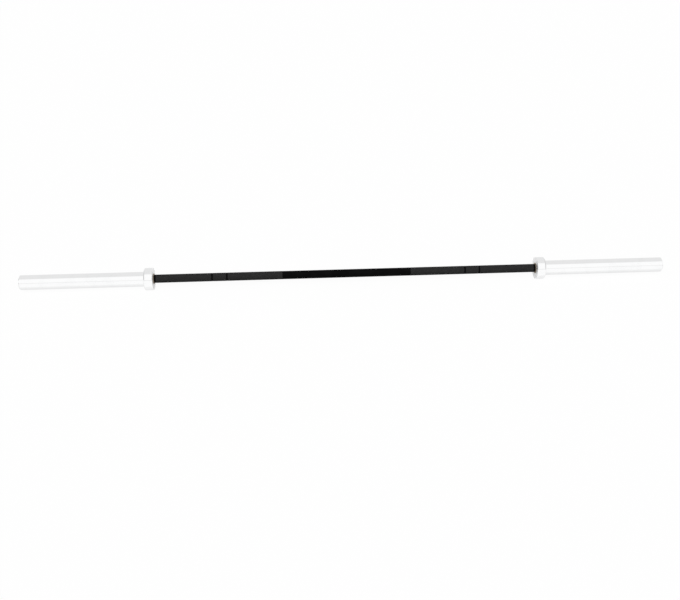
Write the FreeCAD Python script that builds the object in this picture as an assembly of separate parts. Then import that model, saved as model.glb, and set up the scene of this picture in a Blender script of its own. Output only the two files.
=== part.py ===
import FreeCAD, Part
import math
import os

# Olympic barbell, men's pattern, in millimetres.
# The bar lies along X with +Z up, and the origin is the middle of the shaft on its axis.

# Whole bar
overall_length = 2200.0
length_between_collars = 1310.0

# Shaft and its grip, with the ring marks spaced between their inner edges
shaft_diameter = 28.0
bare_centre_length = 439.0
inner_mark_spacing = 810.0
outer_mark_spacing = 910.0
mark_width = 5.5
mark_depth = 0.1
knurl_blank_depth = 0.15
bare_end_length = 8.0
step_chamfer = 0.4

# Journals turned on the two ends of the shaft
journal_shoulder = 1.5
journal_root_radius = 0.8
journal_end_chamfer = 1.5
journal_end_land = 3.0
centre_hole_diameter = 6.3
centre_hole_angle = 60.0

# Sleeve tube
sleeve_diameter = 50.0
sleeve_end_chamfer = 2.5
sleeve_mouth_chamfer = 0.6
sleeve_end_lip = 3.2
sleeve_end_wall = 4.0

# Collar on the sleeve
collar_diameter = 76.0
collar_width = 30.0
collar_plate_side_radius = 5.0
collar_grip_side_radius = 2.0
collar_relief_width = 2.0
collar_relief_depth = 0.4

# Flanged bronze bushes
bush_wall = 3.5
bush_seat_step = 1.5
inner_bush_length = 45.0
outer_bush_length = 40.0
bush_flange_width = 2.0
bush_flange_thickness = 4.0
bush_mouth_reach = 2.0
bush_bore_chamfer = 1.2
bush_edge_chamfer = 0.5
grease_groove_width = 4.0
grease_groove_depth = 0.8

# Washers on the journal
thrust_washer_width = 4.8
thrust_washer_thickness = 2.5
spacer_washer_width = 3.8
spacer_washer_thickness = 2.0
washer_edge_chamfer = 0.3

# Snap rings on the journal
snap_ring_thickness = 1.2
snap_ring_groove_depth = 0.55
snap_ring_back_width = 3.0
snap_ring_tip_width = 1.9
snap_ring_lug_radius = 2.2
snap_ring_lug_reach = 2.6
snap_ring_hole_diameter = 2.0
snap_ring_gap = 2.4
inner_snap_ring_turn = 0.0
outer_snap_ring_turn = 180.0

# End cap and the ring that keeps it in
cap_seat_ledge = 2.0
cap_thickness = 6.0
cap_rim_width = 7.9
cap_dish_depth = 0.8
cap_edge_chamfer = 0.8
cap_ring_thickness = 1.75
cap_ring_groove_depth = 1.25
cap_ring_back_width = 4.0
cap_ring_tip_width = 2.6
cap_ring_lug_radius = 2.7
cap_ring_lug_reach = 3.2
cap_ring_hole_diameter = 2.5
cap_ring_gap = 9.0
cap_ring_turn = 180.0

# Fits and clearances
running_clearance = 0.05
end_play = 0.3
groove_play = 0.1
washer_bore_clearance = 0.2
cap_clearance = 0.1
cap_to_shaft_gap = 1.5

# Shares and tolerances
half_share = 0.5
match_tolerance = 0.001

# Radii
shaft_radius = shaft_diameter * half_share
knurl_blank_radius = shaft_radius - knurl_blank_depth
mark_radius = shaft_radius - mark_depth
journal_radius = shaft_radius - journal_shoulder
snap_groove_radius = journal_radius - snap_ring_groove_depth
sleeve_radius = sleeve_diameter * half_share
collar_radius = collar_diameter * half_share
collar_relief_radius = sleeve_radius - collar_relief_depth
bush_bore_radius = journal_radius + running_clearance
bush_radius = journal_radius + bush_wall
bush_flange_radius = bush_radius + bush_flange_width
sleeve_bore_radius = bush_radius - bush_seat_step
washer_bore_radius = journal_radius + washer_bore_clearance
cap_seat_radius = sleeve_radius - sleeve_end_wall
chamber_radius = cap_seat_radius - cap_seat_ledge
cap_groove_radius = cap_seat_radius + cap_ring_groove_depth

# Places along the right half of the bar, from its middle outward
bare_centre_end = bare_centre_length * half_share
inner_mark_start = inner_mark_spacing * half_share
inner_mark_end = inner_mark_start + mark_width
outer_mark_start = outer_mark_spacing * half_share
outer_mark_end = outer_mark_start + mark_width
collar_face = length_between_collars * half_share
knurl_end = collar_face - bare_end_length
collar_plate_face = collar_face + collar_width
collar_relief_end = collar_plate_face + collar_relief_width
sleeve_end = overall_length * half_share

# The inner bush, its flange standing proud of the collar, and the shaft shoulder it bears on
inner_flange_face = collar_face - bush_mouth_reach
shaft_shoulder = inner_flange_face - end_play
inner_flange_back = inner_flange_face + bush_flange_thickness
inner_bush_end = inner_flange_back + inner_bush_length

# The end cap, counted back from the end of the sleeve
cap_ring_outer_face = sleeve_end - sleeve_end_lip
cap_outer_face = cap_ring_outer_face - cap_ring_thickness
cap_groove_start = cap_outer_face - groove_play
cap_seat = cap_outer_face - cap_thickness

# The stack on the end of the journal, counted back from the end cap
shaft_end = cap_seat - cap_to_shaft_gap
outer_ring_outer_face = shaft_end - journal_end_land
outer_ring_inner_face = outer_ring_outer_face - snap_ring_thickness
outer_groove_start = outer_ring_inner_face - groove_play
inner_ring_outer_face = outer_ring_inner_face - spacer_washer_thickness
inner_ring_inner_face = inner_ring_outer_face - snap_ring_thickness
inner_groove_start = inner_ring_inner_face - groove_play
thrust_washer_inner_face = inner_ring_inner_face - thrust_washer_thickness
outer_flange_face = thrust_washer_inner_face - end_play
outer_flange_back = outer_flange_face - bush_flange_thickness
outer_bush_start = outer_flange_back - outer_bush_length

origin = FreeCAD.Vector(0, 0, 0)
bar_axis = FreeCAD.Vector(1, 0, 0)
full_turn = 360


def turned(outline):
    """A solid turned about the bar's axis from an outline of (x, radius) corners."""
    corners = [FreeCAD.Vector(x, 0, radius) for x, radius in outline]
    wire = Part.makePolygon(corners + corners[:1])
    return Part.Face(wire).revolve(origin, bar_axis, full_turn)


def stretches(start, lengths):
    """Outline corners of stretches that follow one another, each given as (end, radius)."""
    corners = []
    place = start
    for end, radius in lengths:
        corners.append((place, radius))
        corners.append((end, radius))
        place = end
    return corners


def round_edges(solid, places):
    """The circular edges of a turned solid at the given (x, radius) places."""
    found = []
    for edge in solid.Edges:
        curve = edge.Curve
        if not isinstance(curve, Part.Circle):
            continue
        for x, radius in places:
            near = abs(curve.Center.x - x) < match_tolerance
            if near and abs(curve.Radius - radius) < match_tolerance:
                found.append(edge)
    return found


def chamfered(solid, size, places):
    return solid.makeChamfer(size, round_edges(solid, places))


def filleted(solid, radius, places):
    return solid.makeFillet(radius, round_edges(solid, places))


def disc(x, radius, thickness, y=0, z=0):
    """A flat round plate across the bar's axis, from x outward."""
    return Part.makeCylinder(radius, thickness, FreeCAD.Vector(x, y, z), bar_axis)


def bar_shaft():
    """The one-piece shaft, with the knurl bands turned down to the blank size of the knurl."""
    half = [
        (bare_centre_end, shaft_radius),
        (inner_mark_start, knurl_blank_radius),
        (inner_mark_end, mark_radius),
        (outer_mark_start, knurl_blank_radius),
        (outer_mark_end, mark_radius),
        (knurl_end, knurl_blank_radius),
        (shaft_shoulder, shaft_radius),
        (inner_groove_start, journal_radius),
        (inner_ring_outer_face, snap_groove_radius),
        (outer_groove_start, journal_radius),
        (outer_ring_outer_face, snap_groove_radius),
        (shaft_end, journal_radius),
    ]
    right = stretches(0, half)[1:]
    left = [(-x, radius) for x, radius in reversed(right)]
    solid = turned([(-shaft_end, 0)] + left + right + [(shaft_end, 0)])
    roots = [(shaft_shoulder, journal_radius), (-shaft_shoulder, journal_radius)]
    solid = filleted(solid, journal_root_radius, roots)
    shoulders = [(shaft_shoulder, shaft_radius), (-shaft_shoulder, shaft_radius)]
    solid = chamfered(solid, step_chamfer, shoulders)
    ends = [(shaft_end, journal_radius), (-shaft_end, journal_radius)]
    solid = chamfered(solid, journal_end_chamfer, ends)
    hole_radius = centre_hole_diameter * half_share
    hole_depth = hole_radius / math.tan(math.radians(centre_hole_angle * half_share))
    hole = turned([(shaft_end, 0), (shaft_end, hole_radius), (shaft_end - hole_depth, 0)])
    return solid.cut([hole, mirrored(hole)])


def sleeve_tube():
    """The sleeve tube: a stepped bore, and a relief where the plates meet the collar."""
    bore = stretches(collar_face, [
        (inner_flange_back, bush_flange_radius),
        (inner_bush_end, bush_radius),
        (outer_bush_start, sleeve_bore_radius),
        (outer_flange_back, bush_radius),
        (outer_flange_face, bush_flange_radius),
        (cap_seat, chamber_radius),
        (cap_groove_start, cap_seat_radius),
        (cap_ring_outer_face, cap_groove_radius),
        (sleeve_end, cap_seat_radius),
    ])
    solid = turned(bore + [
        (sleeve_end, sleeve_radius),
        (collar_relief_end, sleeve_radius),
        (collar_relief_end, collar_relief_radius),
        (collar_plate_face, collar_relief_radius),
        (collar_plate_face, sleeve_radius),
        (collar_face, sleeve_radius),
    ])
    solid = chamfered(solid, sleeve_end_chamfer, [(sleeve_end, sleeve_radius)])
    mouths = [(collar_face, bush_flange_radius), (sleeve_end, cap_seat_radius)]
    return chamfered(solid, sleeve_mouth_chamfer, mouths)


def sleeve_collar():
    """The collar that the plates stop against, shrunk on the inner end of the tube."""
    solid = turned([
        (collar_face, sleeve_radius),
        (collar_plate_face, sleeve_radius),
        (collar_plate_face, collar_radius),
        (collar_face, collar_radius),
    ])
    solid = filleted(solid, collar_plate_side_radius, [(collar_plate_face, collar_radius)])
    return filleted(solid, collar_grip_side_radius, [(collar_face, collar_radius)])


def flanged_bush(flange_face, flange_back, far_end):
    """A bronze bush with its flange at one end and a grease groove round its bore."""
    middle = (flange_face + far_end) * half_share
    reach = math.copysign(grease_groove_width * half_share, far_end - flange_face)
    groove_radius = bush_bore_radius + grease_groove_depth
    bore = stretches(flange_face, [
        (middle - reach, bush_bore_radius),
        (middle + reach, groove_radius),
        (far_end, bush_bore_radius),
    ])
    solid = turned(bore + [
        (far_end, bush_radius),
        (flange_back, bush_radius),
        (flange_back, bush_flange_radius),
        (flange_face, bush_flange_radius),
    ])
    mouths = [(flange_face, bush_bore_radius), (far_end, bush_bore_radius)]
    solid = chamfered(solid, bush_bore_chamfer, mouths)
    rims = [(flange_face, bush_flange_radius), (far_end, bush_radius)]
    return chamfered(solid, bush_edge_chamfer, rims)


def washer(inner_face, thickness, width):
    """A flat washer that sits on the journal."""
    outer_radius = washer_bore_radius + width
    outer_face = inner_face + thickness
    solid = turned([
        (inner_face, washer_bore_radius),
        (outer_face, washer_bore_radius),
        (outer_face, outer_radius),
        (inner_face, outer_radius),
    ])
    rims = [(inner_face, outer_radius), (outer_face, outer_radius)]
    return chamfered(solid, washer_edge_chamfer, rims)


def lug_pair(x, place, radius, thickness, gap):
    """Two round lugs at one height, on either side of a ring's gap."""
    side = gap * half_share + radius
    return [disc(x, radius, thickness, y, place) for y in (side, -side)]


def opening(x, thickness, gap, reach):
    """The block that cuts a ring's gap, from the axis up."""
    corner = FreeCAD.Vector(x, -gap * half_share, 0)
    return Part.makeBox(thickness, gap, reach, corner)


def snap_ring(inner_face, turn):
    """A snap ring that springs into a groove of the journal: widest opposite its gap."""
    thickness = snap_ring_thickness
    outer_radius = snap_groove_radius + (snap_ring_back_width + snap_ring_tip_width) * half_share
    shift = (snap_ring_back_width - snap_ring_tip_width) * half_share
    lug_height = snap_groove_radius + snap_ring_lug_reach
    body = disc(inner_face, outer_radius, thickness, 0, -shift)
    lugs = lug_pair(inner_face, lug_height, snap_ring_lug_radius, thickness, snap_ring_gap)
    body = body.fuse(lugs).cut(disc(inner_face, snap_groove_radius, thickness))
    body = body.cut(opening(inner_face, thickness, snap_ring_gap, bush_flange_radius))
    hole_radius = snap_ring_hole_diameter * half_share
    hole_gap = snap_ring_gap + (snap_ring_lug_radius - hole_radius) / half_share
    body = body.cut(lug_pair(inner_face, lug_height, hole_radius, thickness, hole_gap))
    body = body.removeSplitter()
    body.rotate(origin, bar_axis, turn)
    return body.Solids[0]


def cap_ring():
    """The ring that springs outward into the groove of the tube and keeps the end cap in."""
    thickness = cap_ring_thickness
    x = cap_outer_face
    inner_radius = cap_groove_radius - (cap_ring_back_width + cap_ring_tip_width) * half_share
    shift = (cap_ring_back_width - cap_ring_tip_width) * half_share
    lug_height = cap_groove_radius - cap_ring_lug_reach - cap_ring_tip_width * half_share
    rim = disc(x, cap_groove_radius, thickness)
    body = rim.cut(disc(x, inner_radius, thickness, 0, shift))
    lugs = lug_pair(x, lug_height, cap_ring_lug_radius, thickness, cap_ring_gap)
    body = body.fuse(lugs).common(rim)
    body = body.cut(opening(x, thickness, cap_ring_gap, cap_groove_radius))
    hole_radius = cap_ring_hole_diameter * half_share
    hole_gap = cap_ring_gap + (cap_ring_lug_radius - hole_radius) / half_share
    body = body.cut(lug_pair(x, lug_height, hole_radius, thickness, hole_gap))
    body = body.removeSplitter()
    body.rotate(origin, bar_axis, cap_ring_turn)
    return body.Solids[0]


def end_cap():
    """The turned disc that closes the sleeve, with a shallow dish in its outer face."""
    cap_radius = cap_seat_radius - cap_clearance
    dish_radius = cap_radius - cap_rim_width
    dish_floor = cap_outer_face - cap_dish_depth
    solid = turned([
        (cap_seat, 0),
        (cap_seat, cap_radius),
        (cap_outer_face, cap_radius),
        (cap_outer_face, dish_radius),
        (dish_floor, dish_radius - cap_dish_depth),
        (dish_floor, 0),
    ])
    rims = [(cap_seat, cap_radius), (cap_outer_face, cap_radius)]
    return chamfered(solid, cap_edge_chamfer, rims)


def mirrored(solid):
    return solid.mirror(origin, bar_axis)


def save(name, solid):
    solid.exportStep(os.path.join("parts", name + ".step"))


os.makedirs("parts", exist_ok=True)
save("shaft", bar_shaft())

sleeve_pieces = {
    "sleeve_tube": sleeve_tube(),
    "collar": sleeve_collar(),
    "inner_bush": flanged_bush(inner_flange_face, inner_flange_back, inner_bush_end),
    "outer_bush": flanged_bush(outer_flange_face, outer_flange_back, outer_bush_start),
    "thrust_washer": washer(
        thrust_washer_inner_face, thrust_washer_thickness, thrust_washer_width
    ),
    "inner_snap_ring": snap_ring(inner_ring_inner_face, inner_snap_ring_turn),
    "spacer_washer": washer(
        inner_ring_outer_face, spacer_washer_thickness, spacer_washer_width
    ),
    "outer_snap_ring": snap_ring(outer_ring_inner_face, outer_snap_ring_turn),
    "end_cap": end_cap(),
    "cap_ring": cap_ring(),
}
for piece, solid in sleeve_pieces.items():
    save("right_" + piece, solid)
    save("left_" + piece, mirrored(solid))
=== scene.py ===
import math

import bmesh
import bpy
from mathutils import Matrix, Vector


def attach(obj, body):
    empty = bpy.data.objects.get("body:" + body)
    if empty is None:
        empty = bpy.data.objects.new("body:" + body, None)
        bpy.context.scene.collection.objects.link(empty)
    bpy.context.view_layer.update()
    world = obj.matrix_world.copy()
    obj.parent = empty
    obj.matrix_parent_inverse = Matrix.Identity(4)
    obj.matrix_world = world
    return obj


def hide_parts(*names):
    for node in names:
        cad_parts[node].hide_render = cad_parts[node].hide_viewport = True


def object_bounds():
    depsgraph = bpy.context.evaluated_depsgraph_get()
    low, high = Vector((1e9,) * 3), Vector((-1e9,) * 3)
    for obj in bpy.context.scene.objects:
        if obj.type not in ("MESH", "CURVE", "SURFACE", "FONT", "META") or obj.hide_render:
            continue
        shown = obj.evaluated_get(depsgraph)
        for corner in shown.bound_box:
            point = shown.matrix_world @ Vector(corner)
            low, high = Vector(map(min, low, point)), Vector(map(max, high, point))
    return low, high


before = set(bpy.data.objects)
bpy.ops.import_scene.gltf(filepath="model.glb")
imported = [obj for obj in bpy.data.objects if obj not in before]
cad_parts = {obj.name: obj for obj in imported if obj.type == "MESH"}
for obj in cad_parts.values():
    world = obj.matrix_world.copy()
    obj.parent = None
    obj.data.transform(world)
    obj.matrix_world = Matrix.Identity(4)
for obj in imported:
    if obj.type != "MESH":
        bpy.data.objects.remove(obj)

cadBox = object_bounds()
mm = 0.001
print("frame loaded with", len(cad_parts), "nodes")


# Helpers for node trees

white = (1.0, 1.0, 1.0)
mixSockets = {"first": 6, "second": 7, "result": 2}   # where a Mix node keeps its colours


def grey(tone):
    return (tone, tone, tone)


def put(tree, kind, place, **settings):
    node = tree.nodes.new(kind)
    node.location = place
    for key, value in settings.items():
        setattr(node, key, value)
    return node


def feed(tree, socket, value):
    if isinstance(value, tuple):
        socket.default_value = (*value, 1)
    elif isinstance(value, (int, float)):
        socket.default_value = value
    else:
        tree.links.new(value, socket)


def mathNode(tree, operation, place, first, second=0.0):
    node = put(tree, "ShaderNodeMath", place, operation=operation)
    feed(tree, node.inputs[0], first)
    feed(tree, node.inputs[1], second)
    return node.outputs[0]


def mapRange(tree, place, value, low, high, toLow, toHigh):
    node = put(tree, "ShaderNodeMapRange", place)
    for name, setting in zip(("Value", "From Min", "From Max", "To Min", "To Max"),
                             (value, low, high, toLow, toHigh)):
        feed(tree, node.inputs[name], setting)
    return node.outputs["Result"]


def mixColour(tree, place, factor, first, second):
    node = put(tree, "ShaderNodeMix", place, data_type="RGBA")
    feed(tree, node.inputs["Factor"], factor)
    feed(tree, node.inputs[mixSockets["first"]], first)
    feed(tree, node.inputs[mixSockets["second"]], second)
    return node.outputs[mixSockets["result"]]


def newGroup(name, inputs, outputs):
    group = bpy.data.node_groups.new(name, "ShaderNodeTree")
    for title, value in inputs.items():
        socket = group.interface.new_socket(name=title, in_out="INPUT", socket_type="NodeSocketFloat")
        socket.default_value = value
    for title in outputs:
        group.interface.new_socket(name=title, in_out="OUTPUT", socket_type="NodeSocketFloat")
    enter = put(group, "NodeGroupInput", (-900, 0))
    leave = put(group, "NodeGroupOutput", (700, 0))
    return group, enter, leave


# Lathe marks: rings along a cylinder, circles on a face square to the bar
latheLook = {
    "fineness": 2500.0, "waver": 0.5, "detail": 3.0, "maskLow": 0.4, "maskHigh": 0.65,
    "faceShare": 0.61,   # circles across a face for each ring along the bar
}


def makeLatheMarks(look):
    inputs = {"Fineness": look["fineness"], "Waver": look["waver"]}
    group, enter, leave = newGroup("latheMarks", inputs, ("Height", "Mask"))
    coord = put(group, "ShaderNodeTexCoord", (-900, -250))
    split = put(group, "ShaderNodeSeparateXYZ", (-720, -250))
    group.links.new(coord.outputs["Object"], split.inputs[0])
    around = put(group, "ShaderNodeCombineXYZ", (-540, -330))
    group.links.new(split.outputs["Y"], around.inputs["Y"])
    group.links.new(split.outputs["Z"], around.inputs["Z"])
    radius = put(group, "ShaderNodeVectorMath", (-360, -200), operation="LENGTH")
    group.links.new(around.outputs[0], radius.inputs[0])
    facing = put(group, "ShaderNodeVectorMath", (-360, -380), operation="NORMALIZE")
    group.links.new(around.outputs[0], facing.inputs[0])
    outward = mathNode(group, "MULTIPLY", (-180, -120), radius.outputs["Value"], look["faceShare"])
    along = mathNode(group, "ADD", (-20, -60), split.outputs["X"], outward)
    rings = mathNode(group, "MULTIPLY", (140, -20), along, enter.outputs["Fineness"])
    lean = put(group, "ShaderNodeVectorMath", (-180, -380), operation="SCALE")
    group.links.new(facing.outputs[0], lean.inputs[0])
    group.links.new(enter.outputs["Waver"], lean.inputs["Scale"])
    shift = put(group, "ShaderNodeCombineXYZ", (140, -200))
    group.links.new(rings, shift.inputs["X"])
    place = put(group, "ShaderNodeVectorMath", (300, -200), operation="ADD")
    group.links.new(shift.outputs[0], place.inputs[0])
    group.links.new(lean.outputs[0], place.inputs[1])
    noise = put(group, "ShaderNodeTexNoise", (460, -200))
    noise.inputs["Scale"].default_value = 1.0   # the place is already counted in rings
    noise.inputs["Detail"].default_value = look["detail"]
    group.links.new(place.outputs[0], noise.inputs["Vector"])
    group.links.new(noise.outputs["Fac"], leave.inputs["Height"])
    mask = mapRange(group, (560, -420), noise.outputs["Fac"], look["maskLow"], look["maskHigh"], 0.0, 1.0)
    group.links.new(mask, leave.inputs["Mask"])
    return group


# Handling: broad soft patches where oil and hands have dulled the finish
handlingLook = {"patches": 35.0, "low": 0.42, "high": 0.68, "detail": 5.0, "distortion": 0.7}


def makeHandling(look):
    inputs = {"Patches": look["patches"], "Low": look["low"], "High": look["high"]}
    group, enter, leave = newGroup("handling", inputs, ("Mask",))
    coord = put(group, "ShaderNodeTexCoord", (-700, -200))
    noise = put(group, "ShaderNodeTexNoise", (-500, -200))
    noise.inputs["Detail"].default_value = look["detail"]
    noise.inputs["Distortion"].default_value = look["distortion"]
    group.links.new(coord.outputs["Object"], noise.inputs["Vector"])
    group.links.new(enter.outputs["Patches"], noise.inputs["Scale"])
    patches = put(group, "ShaderNodeMapRange", (-200, -100), interpolation_type="SMOOTHSTEP")
    group.links.new(noise.outputs["Fac"], patches.inputs["Value"])
    group.links.new(enter.outputs["Low"], patches.inputs["From Min"])
    group.links.new(enter.outputs["High"], patches.inputs["From Max"])
    group.links.new(patches.outputs["Result"], leave.inputs["Mask"])
    return group


# Slide marks: fine straight scratches along the bar, left by what is pushed over it
slideLook = {"length": 9.0, "count": 1400.0, "rarity": 0.66, "fade": 0.08, "detail": 1.0}


def makeSlideMarks(look):
    inputs = {"Length": look["length"], "Count": look["count"], "Rarity": look["rarity"]}
    group, enter, leave = newGroup("slideMarks", inputs, ("Mask",))
    coord = put(group, "ShaderNodeTexCoord", (-900, -200))
    split = put(group, "ShaderNodeSeparateXYZ", (-720, -200))
    group.links.new(coord.outputs["Object"], split.inputs[0])
    stretched = put(group, "ShaderNodeCombineXYZ", (-360, -200))
    for axis, factor, place in (("X", "Length", -60), ("Y", "Count", -220), ("Z", "Count", -380)):
        value = mathNode(group, "MULTIPLY", (-540, place), split.outputs[axis], enter.outputs[factor])
        group.links.new(value, stretched.inputs[axis])
    noise = put(group, "ShaderNodeTexNoise", (-160, -200))
    noise.inputs["Scale"].default_value = 1.0   # the place is already stretched to size
    noise.inputs["Detail"].default_value = look["detail"]
    group.links.new(stretched.outputs[0], noise.inputs["Vector"])
    top = mathNode(group, "ADD", (60, -320), enter.outputs["Rarity"], look["fade"])
    marks = put(group, "ShaderNodeMapRange", (240, -200))
    group.links.new(noise.outputs["Fac"], marks.inputs["Value"])
    group.links.new(enter.outputs["Rarity"], marks.inputs["From Min"])
    group.links.new(top, marks.inputs["From Max"])
    group.links.new(marks.outputs["Result"], leave.inputs["Mask"])
    return group


latheMarks = makeLatheMarks(latheLook)
handling = makeHandling(handlingLook)
slideMarks = makeSlideMarks(slideLook)


def effect(tree, group, place, **values):
    node = put(tree, "ShaderNodeGroup", place, node_tree=group)
    for name, value in values.items():
        node.inputs[name].default_value = value
    return node


def startFinish(name):
    finish = bpy.data.materials.new(name)
    finish.use_nodes = True
    tree = finish.node_tree
    return finish, tree, tree.nodes["Principled BSDF"]


def addRelief(tree, shader, height, look):
    bump = put(tree, "ShaderNodeBump", (-250, -420))
    bump.inputs["Strength"].default_value = look["relief"]
    bump.inputs["Distance"].default_value = look["reliefDepth"] * mm
    tree.links.new(height, bump.inputs["Height"])
    tree.links.new(bump.outputs["Normal"], shader.inputs["Normal"])


# One turned-metal finish, set up differently for each metal, with these values where it has none of its own
turnedLook = {"gloss": 1.5, "rubRough": 0.3, "reliefDepth": 0.02}


def turnedMetal(name, ownLook):
    look = {**turnedLook, **ownLook}
    finish, tree, shader = startFinish(name)
    shader.inputs["Metallic"].default_value = look["metallic"]
    shader.inputs["IOR"].default_value = look["gloss"]
    lathe = effect(tree, latheMarks, (-1000, -350), Fineness=look["rings"], Waver=look["waver"])
    hands = effect(tree, handling, (-1000, 0), Patches=look["patches"])
    slides = effect(tree, slideMarks, (-1000, -620), Rarity=look["rarity"])
    worn = mathNode(tree, "MULTIPLY", (-780, 60), hands.outputs["Mask"], look["dulling"])
    tone = mixColour(tree, (-560, 200), worn, look["bright"], look["dull"])
    rubbed = mathNode(tree, "MULTIPLY", (-780, -560), slides.outputs["Mask"], look["rubbing"])
    tone = mixColour(tree, (-360, 200), rubbed, tone, look["rubbed"])
    tree.links.new(tone, shader.inputs["Base Color"])
    smear = mathNode(tree, "MULTIPLY", (-780, -100), hands.outputs["Mask"], look["smear"])
    ringRough = mathNode(tree, "MULTIPLY", (-780, -260), lathe.outputs["Mask"], look["ringRough"])
    rubRough = mathNode(tree, "MULTIPLY", (-560, -300), rubbed, look["rubRough"])
    rough = mathNode(tree, "ADD", (-560, -140), smear, ringRough)
    rough = mathNode(tree, "ADD", (-400, -140), rough, rubRough)
    if "facedRough" in look:   # faces square to the bar are left as turned
        faced = put(tree, "ShaderNodeAttribute", (-780, -760), attribute_name="faced")
        satin = mathNode(tree, "MULTIPLY", (-560, -760), faced.outputs["Fac"], look["facedRough"])
        rough = mathNode(tree, "ADD", (-320, -300), rough, satin)
    rough = mathNode(tree, "ADD", (-240, -140), rough, look["rough"])
    tree.links.new(rough, shader.inputs["Roughness"])
    addRelief(tree, shader, lathe.outputs["Height"], look)
    return finish


hardChrome = turnedMetal("hardChrome", {
    "bright": (0.98, 0.982, 0.985), "dull": (0.93, 0.934, 0.94), "rubbed": (0.88, 0.884, 0.89),
    "metallic": 1.0, "rough": 0.045, "smear": 0.05, "ringRough": 0.03, "dulling": 0.35, "rubbing": 0.25,
    "rings": 1800.0, "waver": 0.6, "patches": 22.0, "rarity": 0.7, "relief": 0.05, "facedRough": 0.5,
})
# the bronze's tones are kept dark as painted shade for the bush, which sits in the mouth of the collar
bushBronzeWithPaintedShade = turnedMetal("bushBronzeWithPaintedShade", {
    "bright": (0.29, 0.235, 0.17), "dull": (0.18, 0.14, 0.1), "rubbed": (0.46, 0.38, 0.29),
    "metallic": 1.0, "rough": 0.24, "smear": 0.16, "ringRough": 0.1, "dulling": 0.8, "rubbing": 0.3,
    "rings": 2600.0, "waver": 0.3, "patches": 160.0, "rarity": 0.64, "relief": 0.25,
})
groundSteel = turnedMetal("groundSteel", {
    "bright": (0.56, 0.57, 0.58), "dull": (0.4, 0.4, 0.41), "rubbed": (0.66, 0.66, 0.67),
    "metallic": 1.0, "rough": 0.28, "smear": 0.14, "ringRough": 0.12, "dulling": 0.7, "rubbing": 0.4,
    "rings": 3200.0, "waver": 0.2, "patches": 140.0, "rarity": 0.62, "relief": 0.3,
})
springSteel = turnedMetal("springSteel", {
    "bright": (0.06, 0.06, 0.063), "dull": (0.03, 0.03, 0.032), "rubbed": (0.14, 0.14, 0.145),
    "metallic": 0.75, "rough": 0.36, "smear": 0.14, "ringRough": 0.06, "dulling": 0.8, "rubbing": 0.35,
    "rings": 900.0, "waver": 2.0, "patches": 260.0, "rarity": 0.66, "relief": 0.12,
})
capBlack = turnedMetal("capBlack", {
    "bright": (0.012, 0.012, 0.013), "dull": (0.024, 0.024, 0.025), "rubbed": (0.08, 0.08, 0.082),
    "metallic": 0.3, "rough": 0.34, "smear": 0.12, "ringRough": 0.1, "dulling": 0.6, "rubbing": 0.2,
    "rings": 1500.0, "waver": 0.2, "patches": 120.0, "rarity": 0.68, "relief": 0.3, "gloss": 1.35,
})
gripBlack = turnedMetal("gripBlack", {
    "bright": (0.0034, 0.0034, 0.0035), "dull": (0.005, 0.005, 0.0051), "rubbed": (0.008, 0.008, 0.008),
    "metallic": 0.0, "rough": 0.22, "smear": 0.12, "ringRough": 0.06, "dulling": 0.8, "rubbing": 0.25,
    "rings": 1700.0, "waver": 0.4, "patches": 40.0, "rarity": 0.7, "relief": 0.12, "gloss": 1.05,
})


# The knurl's finish: dark in the valleys, paler on the points of the diamonds, partly rubbed wear and partly
# a painted sheen
def makeKnurlBlack(name, look):
    finish, tree, shader = startFinish(name)
    shader.inputs["IOR"].default_value = look["gloss"]
    crest = put(tree, "ShaderNodeAttribute", (-1000, 200), attribute_name="crest")
    hands = effect(tree, handling, (-1000, -100), Patches=look["patches"])
    point = mapRange(tree, (-780, 200), crest.outputs["Fac"], look["tipSheenAndWearStart"], 1.0, 0.0, 1.0)
    uneven = mapRange(tree, (-780, -60), hands.outputs["Mask"], 0.0, 1.0, look["leastTipSheenAndWear"], 1.0)
    # paler points: rubbed wear together with a painted sheen on the points, uneven with handling
    worn = mathNode(tree, "MULTIPLY", (-560, 120), point, uneven)
    tone = mixColour(tree, (-360, 160), worn, look["valley"], look["point"])
    tree.links.new(tone, shader.inputs["Base Color"])
    smeared = look["rough"] + look["smear"]
    rough = mapRange(tree, (-360, -100), hands.outputs["Mask"], 0.0, 1.0, look["rough"], smeared)
    tree.links.new(rough, shader.inputs["Roughness"])
    grain = put(tree, "ShaderNodeTexNoise", (-560, -380))
    grain.inputs["Scale"].default_value = look["grain"]
    coord = put(tree, "ShaderNodeTexCoord", (-780, -380))
    tree.links.new(coord.outputs["Object"], grain.inputs["Vector"])
    addRelief(tree, shader, grain.outputs["Fac"], look)
    return finish


knurlBlack = makeKnurlBlack("knurlBlack", {
    "valley": (0.02, 0.02, 0.02), "point": (0.07, 0.07, 0.07), "tipSheenAndWearStart": 0.35, "leastTipSheenAndWear": 0.6,
    "gloss": 1.05, "rough": 0.42, "smear": 0.14, "patches": 60.0,
    "grain": 5200.0, "relief": 0.2, "reliefDepth": 0.02,
})
print("finishes made:", len(bpy.data.materials))


# Helpers for turned shapes: an outline of (x, radius) in millimetres spun about the bar

turning = {
    "mergeGap": 0.002, "rimGap": 0.01,   # millimetres
    "sharpAngle": 30, "smoothUpTo": 32,   # degrees between two faces
    "breakSegments": 2,
    "squareFace": 0.99,   # share of a face's normal that lies along the bar
}


def spunShape(outline, segments, closed=True):
    shape = bmesh.new()
    corners = [shape.verts.new((x * mm, 0, radius * mm)) for x, radius in outline]
    following = corners[1:] + corners[:1] if closed else corners[1:]
    sides = [shape.edges.new(pair) for pair in zip(corners, following)]
    bmesh.ops.spin(shape, geom=corners + sides, cent=(0, 0, 0), axis=(1, 0, 0), dvec=(0, 0, 0),
                   angle=math.tau, steps=segments, use_merge=True)
    bmesh.ops.remove_doubles(shape, verts=shape.verts[:], dist=turning["mergeGap"] * mm)
    bmesh.ops.recalc_face_normals(shape, faces=shape.faces[:])
    return shape


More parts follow.
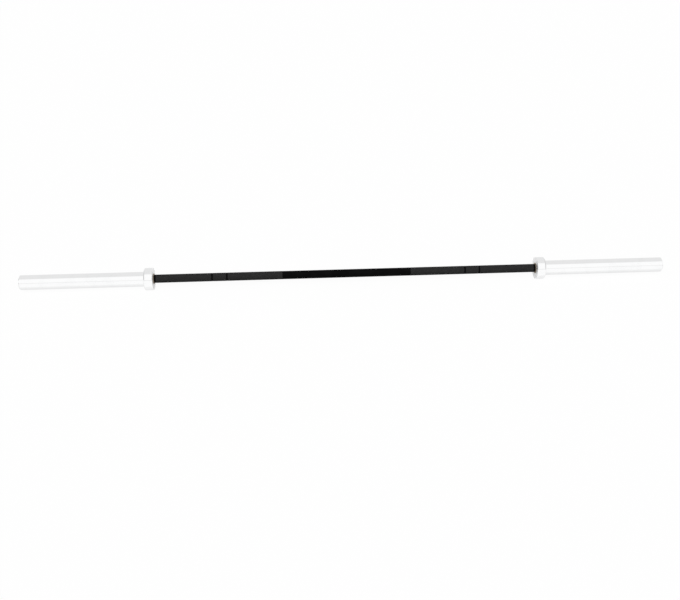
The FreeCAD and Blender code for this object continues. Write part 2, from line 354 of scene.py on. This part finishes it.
def bevelEdges(shape, edges, size, segments):
    bmesh.ops.bevel(shape, geom=edges, offset=size * mm, offset_type="OFFSET", segments=segments,
                    profile=0.5, affect="EDGES", material=-1, clamp_overlap=True)


def roundRim(shape, x, radius, size, segments):
    gap = turning["rimGap"] * mm

    def onRim(vert):
        reach = math.hypot(vert.co.y, vert.co.z)
        return abs(vert.co.x - x * mm) < gap and abs(reach - radius * mm) < gap

    rim = [edge for edge in shape.edges if all(onRim(vert) for vert in edge.verts)]
    bevelEdges(shape, rim, size, segments)


def breakEdges(shape, size):
    limit = math.radians(turning["sharpAngle"])
    sharp = [edge for edge in shape.edges if len(edge.link_faces) == 2 and edge.calc_face_angle() > limit]
    bevelEdges(shape, sharp, size, turning["breakSegments"])


# Faces square to the bar are marked, because they have a finish of their own
def markFaces(shape):
    faced = shape.verts.layers.float.new("faced")
    shape.normal_update()
    for face in shape.faces:
        if abs(face.normal.x) > turning["squareFace"]:
            for vert in face.verts:
                vert[faced] = 1.0


def addPiece(shape, name, finish, body, node=None, smooth=True):
    mesh = bpy.data.meshes.new(name)
    shape.to_mesh(mesh)
    shape.free()
    mesh.polygons.foreach_set("use_smooth", [smooth] * len(mesh.polygons))
    mesh.materials.append(finish)
    piece = bpy.data.objects.new(name, mesh)
    bpy.context.scene.collection.objects.link(piece)
    if smooth:   # long faces keep their own normals, and only the narrow rims between them are blended
        mesh.set_sharp_from_angle(angle=math.radians(turning["smoothUpTo"]))
        evenNormals = piece.modifiers.new("evenNormals", "WEIGHTED_NORMAL")
        evenNormals.keep_sharp = True
    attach(piece, body)
    if node:
        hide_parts(node)


# The shaft: bare grip, ring marks, blank bands under the knurl, journals inside the sleeves
shaftSizes = {
    "segments": 96, "edgeBreak": 0.12,
    "gripRadius": 14.0, "blankRadius": 13.85, "markRadius": 13.9,
    "journalRadius": 12.5, "grooveRadius": 11.95,
    "bareCentre": 219.5, "innerMark": (405.0, 410.5), "outerMark": (455.0, 460.5), "knurlEnd": 647.0,
    "shoulder": 652.7, "firstGroove": (1080.05, 1081.35), "secondGroove": (1083.25, 1084.55),
    "end": 1087.55, "endChamfer": 1.5,
    "centreHole": (3.15, 5.456),   # radius and depth
}


def shaftOutline(size):
    grip, blank, mark = size["gripRadius"], size["blankRadius"], size["markRadius"]
    journal, groove, end = size["journalRadius"], size["grooveRadius"], size["end"]
    holeRadius, holeDepth = size["centreHole"]
    half = []
    start = 0
    for stop, radius in (
        (size["bareCentre"], grip),
        (size["innerMark"][0], blank), (size["innerMark"][1], mark),
        (size["outerMark"][0], blank), (size["outerMark"][1], mark),
        (size["knurlEnd"], blank), (size["shoulder"], grip),
        (size["firstGroove"][0], journal), (size["firstGroove"][1], groove),
        (size["secondGroove"][0], journal), (size["secondGroove"][1], groove),
        (end - size["endChamfer"], journal),
    ):
        half += [(start, radius), (stop, radius)]
        start = stop
    half += [(end, journal - size["endChamfer"]), (end, holeRadius), (end - holeDepth, 0)]
    half = half[1:]   # the point in the middle goes, so that the grip runs straight through
    return [(-x, radius) for x, radius in reversed(half)] + half


shaft = spunShape(shaftOutline(shaftSizes), shaftSizes["segments"], closed=False)
breakEdges(shaft, shaftSizes["edgeBreak"])
addPiece(shaft, "shaftGrip", gripBlack, "bar", "shaft")
print("shaft made")


# The knurl: a tube of diamonds, each raised to a point, lying on the blank bands of the shaft
knurlSizes = {
    "starts": 56, "angle": 30.0,
    "root": 13.87, "inside": 13.5, "height": 0.27, "clear": 0.1,
    "rimFace": 0.5,   # share of a face's normal along the bar, past which the face belongs to a rim
}


def knurlBand(name, low, high, size):
    shape = bmesh.new()
    crest = shape.verts.layers.float.new("crest")
    width = math.tau * size["root"] / size["starts"]
    rows = round((high - low) * math.tan(math.radians(size["angle"])) / width)
    step = (high - low) / rows
    bmesh.ops.create_circle(shape, cap_ends=False, segments=size["starts"], radius=size["root"] * mm)
    bmesh.ops.rotate(shape, verts=shape.verts[:], cent=(0, 0, 0), matrix=Matrix.Rotation(math.pi / 2, 3, "Y"))
    bmesh.ops.translate(shape, verts=shape.verts[:], vec=(low * mm, 0, 0))
    bmesh.ops.spin(shape, geom=shape.verts[:] + shape.edges[:], cent=(0, 0, 0), axis=(1, 0, 0),
                   dvec=(step * mm, 0, 0), angle=0, steps=rows)
    outside = shape.faces[:]
    grid = [edge for edge in shape.edges if len(edge.link_faces) == 2]
    rims = [edge for edge in shape.edges if edge.is_boundary]
    # fold both rims in under the knurl and join them, so that the band is closed
    folded = bmesh.ops.extrude_edge_only(shape, edges=rims)["geom"]
    shrink = size["inside"] / size["root"]
    bmesh.ops.scale(shape, vec=(1, shrink, shrink),
                    verts=[part for part in folded if isinstance(part, bmesh.types.BMVert)])
    bmesh.ops.bridge_loops(shape, edges=[edge for edge in shape.edges if edge.is_boundary])
    bmesh.ops.recalc_face_normals(shape, faces=shape.faces[:])
    # centre points, then the straight grid goes, and diamonds are left
    bmesh.ops.poke(shape, faces=outside, offset=0)
    bmesh.ops.dissolve_edges(shape, edges=grid, use_verts=False)
    reach = (size["root"] + size["inside"]) / 2 * mm
    diamonds = [face for face in shape.faces
                if math.hypot(*face.calc_center_median().yz) > reach
                and abs(face.normal.x) < size["rimFace"]]
    raised = bmesh.ops.poke(shape, faces=diamonds, offset=size["height"] * mm)
    for vert in raised["verts"]:
        vert[crest] = 1.0
    addPiece(shape, name, knurlBlack, "bar", smooth=False)


bandEnds = {
    "Inner": (shaftSizes["bareCentre"], shaftSizes["innerMark"][0]),
    "Middle": (shaftSizes["innerMark"][1], shaftSizes["outerMark"][0]),
    "Outer": (shaftSizes["outerMark"][1], shaftSizes["knurlEnd"]),
}
for bandName, (low, high) in bandEnds.items():
    low, high = low + knurlSizes["clear"], high - knurlSizes["clear"]
    knurlBand("rightKnurl" + bandName, low, high, knurlSizes)
    knurlBand("leftKnurl" + bandName, -high, -low, knurlSizes)
print("knurl made:", 2 * len(bandEnds), "bands")


# The sleeves: tube and collar, polished and chromed
tubeSizes = {
    "segments": 160, "edgeBreak": 0.15,
    "radius": 25.0, "start": 655.0, "end": 1100.0, "endChamfer": 2.5, "mouthChamfer": 0.6,
    "relief": (685.0, 687.0, 24.6),   # start, end and radius
    # where each step of the bore ends, and its radius
    "bore": ((657.0, 18.0), (702.0, 16.0), (1033.35, 14.5), (1073.35, 16.0), (1077.35, 18.0),
             (1089.05, 19.0), (1094.95, 21.0), (1096.8, 22.25), (1100.0, 21.0)),
}
collarSizes = {
    "segments": 192, "start": 655.0, "end": 685.0, "bore": 25.0, "radius": 38.0,
    "plateRound": (5.0, 9), "gripRound": (2.0, 6),   # size and segments
}


def tubeOutline(size):
    chamfer, mouth = size["endChamfer"], size["mouthChamfer"]
    start, end, radius = size["start"], size["end"], size["radius"]
    bore = []
    place = start
    for stop, wall in size["bore"]:
        bore += [(place, wall), (stop, wall)]
        place = stop
    bore[0] = (start + mouth, bore[0][1])
    bore[-1] = (end - mouth, bore[-1][1])
    reliefStart, reliefEnd, reliefRadius = size["relief"]
    return [(start, bore[0][1] + mouth)] + bore + [
        (end, bore[-1][1] + mouth), (end, radius - chamfer), (end - chamfer, radius),
        (reliefEnd, radius), (reliefEnd, reliefRadius), (reliefStart, reliefRadius), (reliefStart, radius),
        (start, radius),
    ]


def collarOutline(size):
    return [(size["start"], size["bore"]), (size["end"], size["bore"]),
            (size["end"], size["radius"]), (size["start"], size["radius"])]


def onSide(outline, side):
    return [(side * x, radius) for x, radius in outline]


for sideName, side in (("left", -1), ("right", 1)):
    body = sideName + "_sleeve"
    tube = spunShape(onSide(tubeOutline(tubeSizes), side), tubeSizes["segments"])
    breakEdges(tube, tubeSizes["edgeBreak"])
    markFaces(tube)
    addPiece(tube, sideName + "SleeveTube", hardChrome, body, sideName + "_sleeve_tube")
    collar = spunShape(onSide(collarOutline(collarSizes), side), collarSizes["segments"])
    roundRim(collar, side * collarSizes["end"], collarSizes["radius"], *collarSizes["plateRound"])
    roundRim(collar, side * collarSizes["start"], collarSizes["radius"], *collarSizes["gripRound"])
    markFaces(collar)
    addPiece(collar, sideName + "SleeveCollar", hardChrome, body, sideName + "_collar")
print("sleeves made")

# The inner pieces and the caps keep their CAD shape and take their own finish
innerFinishes = {
    "inner_bush": bushBronzeWithPaintedShade, "outer_bush": bushBronzeWithPaintedShade,
    "thrust_washer": groundSteel, "spacer_washer": groundSteel,
    "inner_snap_ring": springSteel, "outer_snap_ring": springSteel, "cap_ring": springSteel,
    "end_cap": capBlack,
}
for nodeName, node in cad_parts.items():
    pieceName = nodeName.split("_", 1)[-1]   # without its side
    if pieceName in innerFinishes:
        node.data.materials.clear()
        node.data.materials.append(innerFinishes[pieceName])
print("inner pieces dressed")


# The studio: a white floor that keeps a faint shadow, and soft light from above and in front
studio = {
    "floorSize": 24.0, "floorTone": 0.92, "floorBounce": 0.5, "floorGlow": 0.96, "mirroredGlow": 0.95,
    # what polished metal sees of the floor, from in front of the bar to behind it: a painted shade under the
    # bar, darkest as a painted shadow just behind, white from a hand's width away
    "shadeReach": 0.1,
    "paintedFloorShade": ((0.0, 1.0), (0.225, 1.0), (0.275, 0.92), (0.34, 0.9), (0.4, 0.85), (0.5, 0.785),
                   (0.6, 0.8), (0.63, 0.62), (0.74, 0.62), (0.82, 0.97), (0.88, 1.0), (1.0, 1.0)),
    "keyPower": 2.2, "keySpread": 35.0, "keyTurn": -14.0, "keyLift": 48.0,
    # light from the front horizon over the top to the back horizon, and what polished metal sees there
    "roomLight": ((0.0, 0.25), (0.08, 0.25), (0.1, 0.5), (0.38, 0.5), (0.44, 0.36), (1.0, 0.36)),
    "roomTones": ((0.0, 1.0), (0.033, 1.0), (0.045, 0.87), (0.08, 0.87), (0.092, 1.0),
                  (0.4, 1.0), (0.44, 0.81), (1.0, 0.81)),
    "sideTone": 0.6, "sideStart": 0.54, "sideEnd": 0.68,   # metal sees the two far ends of the room darker
}


# A ramp of greys, with its first stop at 0 and its last at 1
def toneRamp(tree, place, share, tones):
    node = put(tree, "ShaderNodeValToRGB", place)
    stops = node.color_ramp.elements
    for position, tone in tones[1:-1]:
        stops.new(position)
    for stop, (position, tone) in zip(stops, tones):
        stop.color = (*grey(tone), 1)
    tree.links.new(share, node.inputs["Fac"])
    return node.outputs["Color"]


def mirroredRays(tree, place, path):
    return mathNode(tree, "ADD", place, path.outputs["Is Glossy Ray"], path.outputs["Is Transmission Ray"])


def makeFloorPaint(look):
    paint = bpy.data.materials.new("floorPaint")
    paint.use_nodes = True
    tree = paint.node_tree
    tree.nodes.clear()
    path = put(tree, "ShaderNodeLightPath", (-700, 200))
    mirrored = mirroredRays(tree, (-500, 60), path)
    mirrored = mathNode(tree, "MULTIPLY", (-340, 60), mirrored, look["mirroredGlow"])
    seen = mathNode(tree, "MULTIPLY", (-340, 220), path.outputs["Is Camera Ray"], look["floorGlow"])
    share = mathNode(tree, "ADD", (-180, 200), seen, mirrored)
    # little light comes back up from the floor, as on a small table in a large room
    bounced = path.outputs["Is Diffuse Ray"]
    bounce = mixColour(tree, (-380, -20), bounced, grey(look["floorTone"]), grey(look["floorBounce"]))
    matt = put(tree, "ShaderNodeBsdfDiffuse", (-180, 0))
    tree.links.new(bounce, matt.inputs["Color"])
    coord = put(tree, "ShaderNodeTexCoord", (-1080, -200))
    split = put(tree, "ShaderNodeSeparateXYZ", (-900, -200))
    tree.links.new(coord.outputs["Object"], split.inputs[0])
    reach = look["shadeReach"]
    away = mapRange(tree, (-740, -200), split.outputs["Y"], -reach, reach, 0.0, 1.0)
    # a shade and shadow of the bar painted into the floor's glow, which only reflections see; the camera sees
    # the floor white
    shade = toneRamp(tree, (-420, -200), away, look["paintedFloorShade"])
    shade = mixColour(tree, (-140, -200), path.outputs["Is Camera Ray"], shade, white)
    glow = put(tree, "ShaderNodeEmission", (40, -150))
    tree.links.new(shade, glow.inputs["Color"])
    both = put(tree, "ShaderNodeMixShader", (220, 60))
    tree.links.new(share, both.inputs["Fac"])
    tree.links.new(matt.outputs[0], both.inputs[1])
    tree.links.new(glow.outputs[0], both.inputs[2])
    out = put(tree, "ShaderNodeOutputMaterial", (400, 60))
    tree.links.new(both.outputs[0], out.inputs["Surface"])
    return paint


def buildFloor(look):
    shape = bmesh.new()
    bmesh.ops.create_grid(shape, x_segments=2, y_segments=2, size=look["floorSize"] / 2)
    bmesh.ops.translate(shape, verts=shape.verts[:], vec=(0, 0, cadBox[0].z))
    mesh = bpy.data.meshes.new("studioFloor")
    shape.to_mesh(mesh)
    shape.free()
    mesh.materials.append(makeFloorPaint(look))
    floor = bpy.data.objects.new("studioFloor", mesh)
    bpy.context.scene.collection.objects.link(floor)


def buildRoom(look):
    world = bpy.data.worlds.new("studioRoom")
    bpy.context.scene.world = world
    world.use_nodes = True
    tree = world.node_tree
    back = tree.nodes["Background"]
    coord = put(tree, "ShaderNodeTexCoord", (-1300, 0))
    split = put(tree, "ShaderNodeSeparateXYZ", (-1120, 0))
    tree.links.new(coord.outputs["Generated"], split.inputs[0])
    front = mathNode(tree, "MULTIPLY", (-940, -80), split.outputs["Y"], -1.0)
    lift = mathNode(tree, "ARCTAN2", (-780, 0), split.outputs["Z"], front)
    share = mathNode(tree, "DIVIDE", (-620, 0), lift, math.pi)
    light = toneRamp(tree, (-460, 260), share, look["roomLight"])
    tones = toneRamp(tree, (-460, 0), share, look["roomTones"])
    aside = mathNode(tree, "ABSOLUTE", (-620, -260), split.outputs["X"])
    aside = mapRange(tree, (-460, -260), aside, look["sideStart"], look["sideEnd"], 0.0, 1.0)
    sides = mixColour(tree, (-160, -120), aside, tones, grey(look["sideTone"]))
    path = put(tree, "ShaderNodeLightPath", (-700, 520))
    shiny = mixColour(tree, (-160, 100), mirroredRays(tree, (-460, 520), path), light, sides)
    seen = mixColour(tree, (20, 100), path.outputs["Is Camera Ray"], shiny, white)
    tree.links.new(seen, back.inputs["Color"])


def buildKey(look):
    lamp = bpy.data.lights.new("softKey", "SUN")
    lamp.energy = look["keyPower"]
    lamp.angle = math.radians(look["keySpread"])
    key = bpy.data.objects.new("softKey", lamp)
    bpy.context.scene.collection.objects.link(key)
    key.rotation_euler = (math.radians(90 - look["keyLift"]), 0, math.radians(look["keyTurn"]))
    key.visible_glossy = False   # the room's tones already give metal its reflections


buildFloor(studio)
buildRoom(studio)
buildKey(studio)
print("studio made")


# The camera: from eye height, a little to the left of the bar's middle
cameraView = {
    "distance": 3.0, "azimuth": -4.029, "elevation": 27.489,
    "aimAzimuth": -3.542, "aimElevation": 29.24,
    "sensor": 36.0, "lens": 46.28, "farEnd": 100.0,
}


def buildCamera(look):
    data = bpy.data.cameras.new("photoView")
    data.sensor_fit = "HORIZONTAL"
    data.sensor_width = look["sensor"]
    data.lens = look["lens"]
    data.clip_end = look["farEnd"]
    camera = bpy.data.objects.new("photoView", data)
    bpy.context.scene.collection.objects.link(camera)
    turn, lift = math.radians(look["azimuth"]), math.radians(look["elevation"])
    camera.location = (look["distance"] * math.sin(turn) * math.cos(lift),
                       -look["distance"] * math.cos(turn) * math.cos(lift),
                       look["distance"] * math.sin(lift))
    camera.rotation_euler = (math.radians(90 - look["aimElevation"]), 0, math.radians(look["aimAzimuth"]))
    bpy.context.scene.camera = camera


buildCamera(cameraView)
bpy.context.scene.view_settings.view_transform = "Standard"
print("camera set")

bpy.context.view_layer.update()
